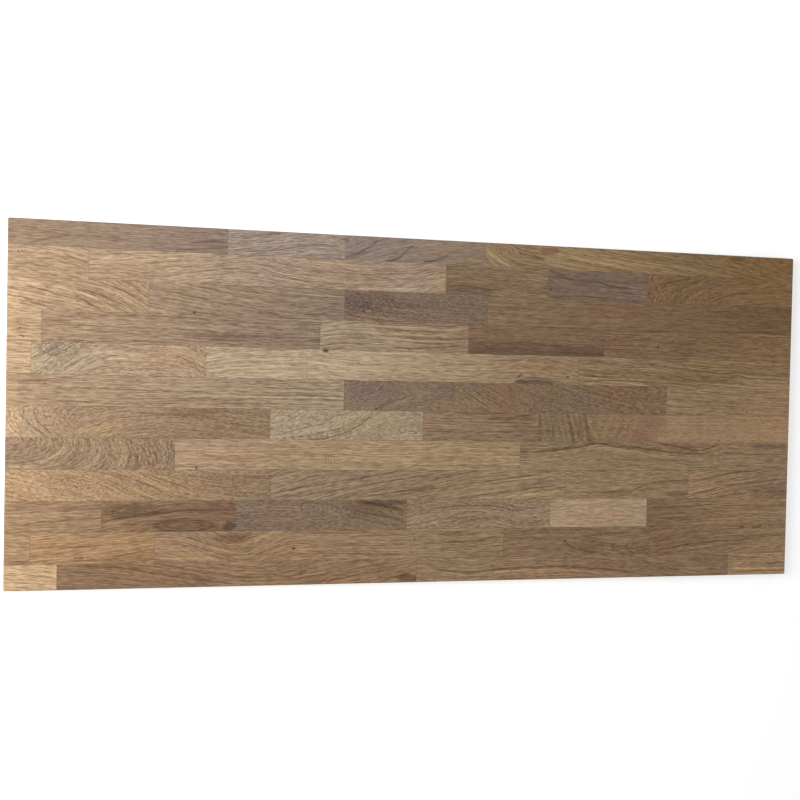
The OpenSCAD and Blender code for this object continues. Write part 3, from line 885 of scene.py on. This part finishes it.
def row_9():
    return [
        dict(tones=(HONEY, TAN), level=(1.26, 0.83), lines=0.85, bands=0.18, fleck=7,
             guide=[(0, 386), (60, 402), (120, 418), (165, 434), (200, 452), (250, 472), (320, 486), (424, 494)],
             bends=[(398, 427, 26, 10, 4, 5)],
             draw=[speckle(95, 430, 50, 24, 0.7), speckle(190, 432, 110, 24, 0.4),
                   speckle(375, 440, 34, 12, 0.5),
                   line([(160, 404), (188, 415), (222, 428), (258, 447)], 1.0, 0.8),
                   line([(205, 404), (235, 416), (280, 432), (310, 449)], 0.9, 0.7),
                   pale_line([(150, 410), (180, 422), (215, 440)], 1.4, 0.7),
                   pale_line([(350, 412), (372, 430), (392, 450)], 1.2, 0.6),
                   pale_line([(384, 430), (402, 424), (424, 425)], 2.4, 1.0),
                   pale_line([(50, 451), (90, 452.5), (126, 452)], 1.3, 0.9),
                   arcs(330, 418, 60, 14, 7, 0, 9, 0.18),
                   stain_or_highlight(230, 440, 60, 12, (1.10, 1.08, 0.98), 0.7),
                   stain_or_highlight(330, 430, 60, 22, (0.98, 0.92, 0.96), 0.6)]),
        dict(tones=(STRAW, WHEAT), level=(0.75, 1.02), lines=0.95, bands=0.16, drift=1.2,
             guide=[(424, 480), (500, 462), (560, 446), (700, 422), (820, 404), (952, 388)],
             draw=[stain_or_highlight(690, 428, 130, 44, (0.92, 0.92, 0.92), 0.8),
                   line([(430, 440), (500, 429), (560, 419), (650, 404)], 1.1, 0.8),
                   line([(440, 452), (520, 440), (620, 424), (740, 403.5)], 1.0, 0.9),
                   line([(700, 420), (750, 410), (800, 402)], 1.3, 1.0),
                   line([(620, 442), (720, 434), (800, 423), (920, 408)], 1.1, 0.9),
                   line([(540, 452), (640, 442), (730, 428)], 1.0, 0.8),
                   line([(760, 452), (840, 441), (950, 428)], 1.1, 0.9),
                   pale_line([(700, 438), (790, 426), (900, 413), (950, 405)], 1.2, 0.9),
                   pale_line([(432, 434), (500, 421), (560, 410)], 1.3, 0.8),
                   pale_line([(440, 445), (520, 434), (600, 420)], 1.2, 0.7),
                   pale_line([(825, 452), (875, 447), (951, 439)], 1.8, 1.0),
                   stain_or_highlight(565, 416, 40, 8, (0.88, 0.84, 0.90), 0.8),
                   stain_or_highlight(910, 447, 60, 6, (1.10, 1.10, 0.99), 0.9)]),
        dict(tones=(WHEAT, WHEAT), level=(1.02, 0.95), bands=0.16,
             guide=[(952, 428), (1040, 430), (1100, 424), (1194, 418)],
             draw=[line([(1066, 451), (1082, 442), (1100, 432), (1132, 425), (1193, 421)], 1.2, 0.9),
                   line([(1090, 452), (1120, 440), (1160, 431)], 1.0, 0.7),
                   pale_line([(1050, 432), (1090, 420), (1150, 413), (1193, 414)], 1.2, 0.6),
                   stain_or_highlight(1035, 444, 50, 10, (0.82, 0.76, 0.80), 0.8),
                   stain_or_highlight(1175, 447, 24, 7, (0.64, 0.56, 0.58), 0.95),
                   arcs(1120, 444, 36, 10, 8, 0, -12, 0.25)]),
        dict(tones=(HONEY, TAN), level=(1.05, 1.0), bands=0.16, lines=0.9, drift=0.8,
             guide=[(1194, 450), (1240, 444), (1290, 434), (1340, 427), (1400, 416)],
             draw=[line([(1194, 425), (1230, 419), (1275, 408), (1335, 404)], 1.3, 1.0),
                   line([(1194, 444.5), (1235, 440), (1265, 432), (1312, 427), (1399, 416)], 1.3, 1.1),
                   pale_line([(1194, 441), (1235, 436), (1265, 428), (1312, 422), (1399, 411)], 1.2, 0.9),
                   pale_line([(1194, 450), (1240, 445), (1290, 434), (1340, 427), (1399, 419)], 1.2, 1.0),
                   line([(1245, 453.5), (1285, 448), (1318, 445)], 1.2, 0.9),
                   line([(1320, 424), (1350, 416), (1390, 406)], 1.1, 0.8),
                   stain_or_highlight(1362, 441, 46, 12, (0.80, 0.76, 0.80), 0.8)]),
    ]


def row_10():
    return [
        dict(tones=(HONEY, BROWN), level=(1.0, 1.12), guide=[(0, 484), (80, 480), (150, 476)],
             draw=[line([(0, 462), (50, 460), (100, 456)], 0.9, 0.6),
                   line([(20, 492), (80, 487), (150, 482)], 0.9, 0.6)]),
        dict(tones=(UMBER, UMBER), level=(1.12, 1.0), lines=0.85, bands=0.10,
             guide=[(150, 488), (200, 480), (260, 473), (310, 472), (367, 478)],
             bends=[(284, 496, 54, 13, 8, 0)],
             draw=[stain_or_highlight(348, 468, 26, 14, (0.98, 0.87, 0.90), 0.8),
                   stain_or_highlight(198, 471, 58, 13, (0.80, 0.76, 0.70), 0.9, 0.3),
                   speckle(200, 469, 64, 14, 0.7), speckle(163, 478, 18, 8, 0.5),
                   line([(150, 488), (200, 479.5), (260, 473), (330, 470), (367, 472)], 1.5, 1.0),
                   pale_line([(150, 494), (205, 485), (250, 483)], 1.6, 0.9),
                   stain_or_highlight(188, 497, 42, 9, (1.24, 1.24, 1.08), 0.95, 0.3),
                   stain_or_highlight(200, 494, 5, 2.5, SHADE, 0.9),
                   ring_line(282, 496, 46, 9.5, 1.3, 0.9), ring_line(282, 496, 30, 5.5, 1.2, 0.8),
                   stain_or_highlight(282, 496, 20, 3.5, SHADE, 0.8),
                   pale_line([(334, 484), (341, 490), (342, 497), (336, 504)], 1.3, 1.0),
                   pale_line([(344, 483), (349, 491), (346, 501)], 1.1, 0.7),
                   stain_or_highlight(357, 498, 12, 9, (0.48, 0.48, 0.52), 1.0, 0.4),
                   line([(240, 505), (300, 505), (367, 505)], 1.2, 0.9)]),
        dict(tones=(SMOKE, TAN), level=(0.93, 0.71), lines=0.6, streaks=0.85, fleck=8,
             guide=[(367, 478), (470, 478), (540, 482), (600, 494), (660, 512)],
             draw=[stain_or_highlight(432, 480, 56, 20, (1.10, 0.99, 0.94), 0.9),
                   stain_or_highlight(400, 458, 60, 5, (1.08, 1.08, 0.96), 0.8),
                   stain_or_highlight(632, 472, 26, 5, (1.08, 1.12, 0.88), 0.9),
                   stain_or_highlight(560, 504, 110, 4, (1.10, 1.10, 0.98), 0.9),
                   speckle(385, 488, 26, 16, 0.45),
                   pale_line([(415, 500), (436, 488), (460, 486), (482, 482)], 1.3, 0.8),
                   pale_line([(476, 457), (470, 466), (472, 476), (480, 484)], 1.4, 1.0),
                   line([(483, 457), (477, 466), (480, 476)], 1.2, 0.9),
                   arcs(512, 468, 34, 13, 8, 5, 0, 0.3),
                   arcs(500, 493, 26, 10, 7, 0, -8, 0.25),
                   arcs(555, 478, 26, 18, 9, 0, 10, 0.25),
                   line([(570, 457), (605, 462), (640, 470), (660, 474)], 2.4, 0.9),
                   line([(560, 470), (600, 480), (640, 487), (660, 492)], 1.4, 0.8),
                   line([(545, 478), (580, 488), (620, 496), (652, 500)], 1.1, 0.7),
                   pale_line([(590, 465), (620, 474), (652, 481)], 1.2, 0.7),
                   stain_or_highlight(620, 460, 44, 6, (0.62, 0.56, 0.60), 0.95, 0.2),
                   stain_or_highlight(600, 470, 60, 16, (0.84, 0.76, 0.80), 0.8),
                   stain_or_highlight(570, 499, 80, 7, (1.04, 1.04, 1.04), 0.7)]),
        dict(tones=(STRAW, STRAW), level=(0.78, 0.87), lines=0.8, fleck=9,
             guide=[(660, 478), (720, 470), (780, 468), (825, 470), (865, 478), (924, 475)],
             bends=[(742, 500, 30, 14, 4, 8), (852, 482, 12, 7, 3, 0), (862, 498, 12, 6, 3, 0)],
             draw=[line([(700, 472), (737, 467), (782, 466), (825, 467), (860, 474), (890, 471), (924, 472)], 1.1, 0.9),
                   line([(722, 505), (728, 494), (742, 484), (762, 478), (800, 476)], 1.0, 0.8),
                   line([(732, 504), (742, 496), (756, 489), (790, 485)], 1.0, 0.8),
                   line([(748, 504), (758, 496), (778, 491), (820, 490)], 1.0, 0.7),
                   pale_line([(702, 488), (714, 497), (722, 505)], 1.3, 0.8),
                   pale_line([(738, 502), (750, 493), (768, 487)], 1.0, 0.7),
                   line([(680, 462), (700, 458), (724, 462)], 1.0, 0.6),
                   speckle(854, 482, 12, 6, 0.7), speckle(862, 498, 10, 5, 0.7),
                   pale_line([(846, 484), (856, 480), (866, 483)], 1.1, 0.8),
                   stain_or_highlight(690, 480, 34, 22, (1.06, 1.04, 1.0), 0.7)]),
        dict(tones=(CREAM, CREAM), level=(0.98, 0.97), lines=0.4, streaks=0.7, bands=0.07,
             guide=[(924, 480), (1020, 478), (1112, 482)],
             draw=[stain_or_highlight(1010, 484, 84, 16, (1.02, 0.94, 0.94), 0.9),
                   stain_or_highlight(1030, 458, 100, 4, (1.04, 1.04, 0.92), 0.8)]),
        dict(tones=(BROWN, HONEY), level=(1.0, 1.0), streaks=0.75, guide=[(1112, 484), (1250, 482), (1400, 478)],
             draw=[line([(1112, 472), (1175, 470), (1262, 465)], 1.2, 0.9),
                   line([(1130, 488), (1190, 494), (1250, 490)], 1.1, 0.6),
                   pale_line([(1270, 483), (1330, 481), (1399, 482)], 1.2, 0.8),
                   pale_line([(1250, 457), (1320, 456.5), (1376, 457)], 1.3, 0.7),
                   line([(1290, 468), (1340, 470), (1399, 468)], 0.9, 0.5),
                   speckle(1168, 494, 36, 8, 0.5),
                   stain_or_highlight(1140, 480, 34, 20, (0.90, 0.90, 0.92), 0.7),
                   stain_or_highlight(1372, 490, 40, 18, (0.90, 0.94, 1.02), 0.7)]),
    ]


def row_11():
    return [
        dict(tones=(HONEY, HONEY), level=(1.06, 1.02), bands=0.05, guide=[(0, 530), (40, 530)],
             draw=[stain_or_highlight(21, 553.5, 20, 3.6, (0.66, 0.62, 0.66), 1.0, 0.2)]),
        dict(tones=(AMBER, AMBER), level=(1.54, 1.24), guide=[(40, 536), (120, 529), (170, 528), (235, 520)],
             draw=[line([(40, 530), (95, 529.5), (160, 527)], 1.0, 0.8),
                   line([(92, 530.5), (112, 530), (135, 528.5)], 1.3, 0.7),
                   line([(106, 546.5), (114, 547.5), (124, 547.5)], 1.5, 0.9),
                   line([(152, 551), (195, 542), (234, 534)], 1.2, 0.8),
                   pale_line([(84, 558), (88, 551), (100, 546)], 1.2, 0.7),
                   pale_line([(120, 540), (170, 535), (234, 527)], 1.0, 0.6),
                   stain_or_highlight(190, 553, 50, 6, (0.86, 0.82, 0.84), 0.8)]),
        dict(tones=(BROWN, WHEAT), level=(1.19, 0.88), bands=0.18,
             guide=[(235, 514), (285, 520), (330, 536), (370, 546), (415, 538), (450, 526), (520, 524),
                    (600, 526), (720, 526), (838, 524)],
             draw=[stain_or_highlight(362, 519, 36, 9.5, (0.72, 0.64, 0.62), 0.95, 0.4),
                   speckle(362, 519, 34, 9, 0.9),
                   line([(240, 508), (285, 515), (326, 528), (370, 537), (410, 530)], 1.0, 0.7),
                   line([(240, 524), (300, 532), (350, 545), (400, 545), (440, 534)], 1.0, 0.7),
                   pale_line([(250, 517), (300, 524), (335, 535), (372, 541)], 1.2, 0.7),
                   pale_line([(396, 530), (408, 518), (424, 512)], 1.4, 0.8),
                   pale_line([(238, 552), (290, 551), (344, 553)], 1.6, 1.0),
                   knot(464.5, 537, 3.4, 1.9),
                   line([(560, 518), (620, 516.5), (664, 518), (674, 523)], 1.0, 0.8),
                   line([(672, 519), (676, 525), (670, 531)], 1.4, 0.8),
                   line([(560, 534), (620, 534), (670, 531)], 0.9, 0.6),
                   pale_line([(540, 514), (580, 513), (640, 514)], 1.0, 0.6),
                   line([(733, 529), (765, 529), (790, 529), (812, 523), (828, 520)], 1.4, 1.0),
                   pale_line([(745, 533), (790, 531), (838, 536)], 1.0, 0.6),
                   line([(440, 549), (520, 546), (600, 549), (700, 545)], 0.9, 0.6),
                   stain_or_highlight(300, 542, 60, 10, (1.08, 1.04, 0.98), 0.7),
                   stain_or_highlight(460, 545, 70, 12, (1.06, 0.96, 0.90), 0.6)]),
        dict(tones=(BROWN, BROWN), level=(1.05, 0.99), lines=0.7,
             guide=[(838, 534), (952, 532), (1010, 541), (1060, 546), (1118, 544)],
             draw=[line([(850, 514), (900, 511), (980, 510), (1050, 512)], 1.0, 0.6),
                   line([(952, 529), (985, 523), (1040, 518), (1080, 518)], 1.4, 0.8),
                   line([(952, 532), (970, 543), (990, 549), (1016, 552)], 1.6, 0.9),
                   stain_or_highlight(1005, 538, 34, 13, (0.88, 0.86, 0.74), 0.9, 0.5),
                   speckle(1002, 537, 34, 13, 0.8),
                   stain_or_highlight(1062, 545, 22, 8, (1.06, 0.94, 0.90), 0.6),
                   line([(1072, 533), (1046, 542), (1060, 552), (1078, 558)], 2.0, 0.8),
                   line([(1100, 533), (1073, 542), (1078, 549), (1104, 559)], 2.0, 0.9),
                   line([(1098, 542), (1096, 548), (1106, 557)], 1.6, 0.8),
                   line([(1018.5, 516), (1021, 519), (1024, 524)], 1.2, 1.0, DARK_FLECK),
                   knot(954, 530.5, 3.2, 2.0)]),
        dict(tones=(BROWN, HONEY), level=(0.95, 0.94), bands=0.16,
             guide=[(1118, 544), (1170, 535), (1230, 528), (1320, 522), (1400, 514)],
             draw=[line([(1120, 552), (1175, 543), (1225, 537), (1292, 534)], 1.1, 0.9),
                   line([(1118, 536), (1160, 528), (1220, 524)], 1.0, 0.7),
                   line([(1270, 537), (1310, 533), (1362, 527), (1399, 524)], 1.0, 0.8),
                   pale_line([(1120, 558), (1190, 548), (1260, 543)], 1.1, 0.6),
                   line([(1300, 508), (1306, 508.5), (1314, 509)], 2.0, 1.0),
                   line([(1326, 509), (1336, 509.5), (1348, 509)], 1.8, 1.0),
                   stain_or_highlight(1252, 516, 28, 7, (0.94, 0.86, 0.98), 0.9),
                   stain_or_highlight(1150, 530, 30, 20, (1.0, 0.86, 0.84), 0.6),
                   stain_or_highlight(1375, 520, 34, 14, (0.92, 0.92, 0.98), 0.7)]),
    ]


def row_12():
    return [
        dict(tones=(WHEAT, WHEAT), level=(1.61, 1.59), bands=0.08, guide=[(0, 570), (40, 574), (82, 582)],
             draw=[line([(6, 571), (40, 574), (82, 580)], 0.9, 0.6),
                   line([(4, 583), (40, 587), (82, 591)], 0.9, 0.6)]),
        dict(tones=(UMBER, BROWN), level=(1.28, 1.12), bands=0.12, lines=0.9,
             guide=[(82, 560), (160, 566), (240, 577), (330, 591), (395, 598), (450, 596), (560, 580), (680, 562)],
             draw=[line([(84, 560), (150, 562), (195, 567), (237, 575), (287, 584), (375, 596)], 1.3, 0.9),
                   line([(190, 560), (260, 566), (330, 577), (400, 586)], 1.2, 0.7),
                   line([(110, 574), (180, 582), (260, 593)], 1.0, 0.7),
                   stain_or_highlight(120, 596, 36, 5, (0.84, 0.88, 0.98), 0.8),
                   stain_or_highlight(320, 575, 60, 14, (0.92, 0.84, 0.90), 0.7),
                   line([(437, 596), (512, 583), (575, 573), (678, 560)], 1.0, 0.8),
                   line([(500, 596), (570, 586), (650, 573)], 1.0, 0.7),
                   pale_line([(450, 587), (530, 577), (610, 566)], 1.2, 0.7),
                   stain_or_highlight(532, 594, 36, 4, (1.12, 0.98, 0.88), 0.6),
                   stain_or_highlight(664, 591, 24, 7, (0.56, 0.50, 0.48), 1.0, 0.15),
                   line([(622, 595), (648, 588), (679, 577)], 1.2, 0.8)]),
        dict(tones=(TAN, BROWN), level=(1.07, 1.06), bands=0.12,
             guide=[(680, 572), (740, 582), (785, 586), (830, 581), (880, 579), (940, 579), (990, 582),
                    (1040, 587), (1110, 600), (1279, 612)],
             draw=[line([(680, 567), (705, 575), (740, 580.5), (785, 584), (830, 579), (880, 577), (940, 577),
                         (990, 580), (1040, 584), (1080, 590), (1112, 598)], 1.7, 1.1),
                   pale_line([(720, 585), (785, 589), (840, 584), (900, 582), (980, 584), (1060, 593)], 1.6, 0.8),
                   line([(900, 563), (980, 562), (1060, 568), (1130, 577)], 0.9, 0.6),
                   line([(1090, 575), (1170, 586), (1250, 590)], 0.9, 0.6),
                   stain_or_highlight(1022, 576, 22, 4, (0.84, 0.74, 0.86), 0.9),
                   stain_or_highlight(970, 578, 110, 30, (1.08, 1.05, 1.06), 0.8),
                   stain_or_highlight(900, 591, 110, 8, (1.10, 1.02, 0.96), 0.8),
                   stain_or_highlight(1120, 566, 60, 7, (1.0, 0.86, 0.82), 0.6)]),
        dict(tones=(HONEY, WHEAT), level=(1.15, 1.2), bands=0.10, guide=[(1279, 578), (1400, 580)],
             draw=[line([(1279, 566), (1320, 566.5), (1364, 567)], 1.2, 0.9),
                   line([(1320, 577.5), (1360, 578), (1399, 578)], 1.0, 0.9),
                   line([(1292, 583), (1340, 582), (1399, 583)], 1.8, 0.6, (0.62, 0.70, 0.80)),
                   line([(1296, 592.5), (1350, 592), (1399, 592.5)], 1.9, 0.9, (0.72, 0.52, 0.36)),
                   pale_line([(1279, 561.5), (1320, 562.5), (1362, 564)], 1.4, 0.8),
                   pale_line([(1282, 587.5), (1330, 587), (1396, 588)], 1.6, 0.8)]),
    ]


LOOKS = (row_1, row_2, row_3, row_4, row_5, row_6, row_7, row_8, row_9, row_10, row_11, row_12)


def dress_staves():
    for row, looks in enumerate(LOOKS, 1):
        for i, look in enumerate(looks(), 1):
            oak("row_%02d_stave_%d" % (row, i), seed=7.31 * row + 2.17 * i, **look)


def seen_directly(tree):
    """1 for what the camera sees straight, mirrored or through glass, 0 for light itself."""
    rays = tree.nodes.new("ShaderNodeLightPath")
    seen = Value(tree, rays.outputs["Is Camera Ray"])
    for other in ("Is Glossy Ray", "Is Transmission Ray"):
        seen = seen.at_least(Value(tree, rays.outputs[other]))
    return seen


def make_floor():
    """A pale floor under the panel, white to the camera, that keeps the panel's shadow."""
    half = 6.0
    mesh = bpy.data.meshes.new("floor")
    corners = [(-half, -half, 0), (half, -half, 0), (half, half, 0), (-half, half, 0)]
    mesh.from_pydata(corners, [], [(0, 1, 2, 3)])
    floor = bpy.data.objects.new("floor", mesh)
    bpy.context.scene.collection.objects.link(floor)
    paint = bpy.data.materials.new("pale_floor")
    paint.use_nodes = True
    tree = paint.node_tree
    tree.nodes.clear()
    diffuse = tree.nodes.new("ShaderNodeBsdfDiffuse")
    diffuse.inputs["Color"].default_value = (0.80, 0.80, 0.80, 1)
    glow = tree.nodes.new("ShaderNodeEmission")
    tree.links.new((seen_directly(tree) * 0.55).bare(), glow.inputs["Strength"])
    both = tree.nodes.new("ShaderNodeAddShader")
    tree.links.new(diffuse.outputs[0], both.inputs[0])
    tree.links.new(glow.outputs[0], both.inputs[1])
    out = tree.nodes.new("ShaderNodeOutputMaterial")
    tree.links.new(both.outputs[0], out.inputs[0])
    mesh.materials.append(paint)


def make_world():
    """Even fill from all round, and plain white where the camera sees past the floor."""
    world = bpy.data.worlds.new("studio")
    world.use_nodes = True
    bpy.context.scene.world = world
    tree = world.node_tree
    tree.nodes.clear()
    sky = tree.nodes.new("ShaderNodeBackground")
    sky.inputs["Color"].default_value = (1, 1, 1, 1)
    strength = seen_directly(tree) * (1 - FILL) + FILL
    tree.links.new(strength.bare(), sky.inputs["Strength"])
    out = tree.nodes.new("ShaderNodeOutputWorld")
    tree.links.new(sky.outputs[0], out.inputs[0])


FILL = 0.36
LAMP_PLACE = (-1.5, 0.3, 1.5)
LAMP_AIM = (-0.2, 0.0, 0.0)
LAMP_SIZE = 1.2
LAMP_WATTS = 31.0


def aim(place, target):
    return (mathutils.Vector(target) - mathutils.Vector(place)).to_track_quat("-Z", "Y").to_matrix().to_4x4()


def make_lamp():
    """One large soft lamp beyond the left end, so that the light falls off to the right."""
    lamp = bpy.data.lights.new("window", "AREA")
    lamp.shape = "SQUARE"
    lamp.size = LAMP_SIZE
    lamp.energy = LAMP_WATTS
    lamp_object = bpy.data.objects.new("window", lamp)
    lamp_object.matrix_world = mathutils.Matrix.Translation(LAMP_PLACE) @ aim(LAMP_PLACE, LAMP_AIM)
    bpy.context.scene.collection.objects.link(lamp_object)


CAMERA_PLACE = (-0.37642, 0.04726, 1.60342)
CAMERA_RIGHT = (0.97980, 0.02089, 0.19886)
CAMERA_UP = (-0.01699, 0.99963, -0.02133)
CAMERA_LOOK = (0.19923, -0.01752, -0.97980)
FOCAL_PIXELS = 926
IMAGE_PIXELS = 800
SENSOR = 36.0


def make_camera():
    """The camera as it stood for the photograph, worked out from the panel's corners."""
    camera = bpy.data.cameras.new("camera")
    camera.sensor_width = SENSOR
    camera.lens = SENSOR * FOCAL_PIXELS / IMAGE_PIXELS
    camera_object = bpy.data.objects.new("camera", camera)
    back = mathutils.Vector(CAMERA_LOOK) * -1
    turn = mathutils.Matrix((CAMERA_RIGHT, CAMERA_UP, back)).transposed().to_4x4()
    camera_object.matrix_world = mathutils.Matrix.Translation(CAMERA_PLACE) @ turn
    bpy.context.scene.collection.objects.link(camera_object)
    bpy.context.scene.camera = camera_object


make_camera()
make_world()
make_lamp()
make_floor()
dress_staves()
bpy.context.scene.view_settings.view_transform = "Standard"
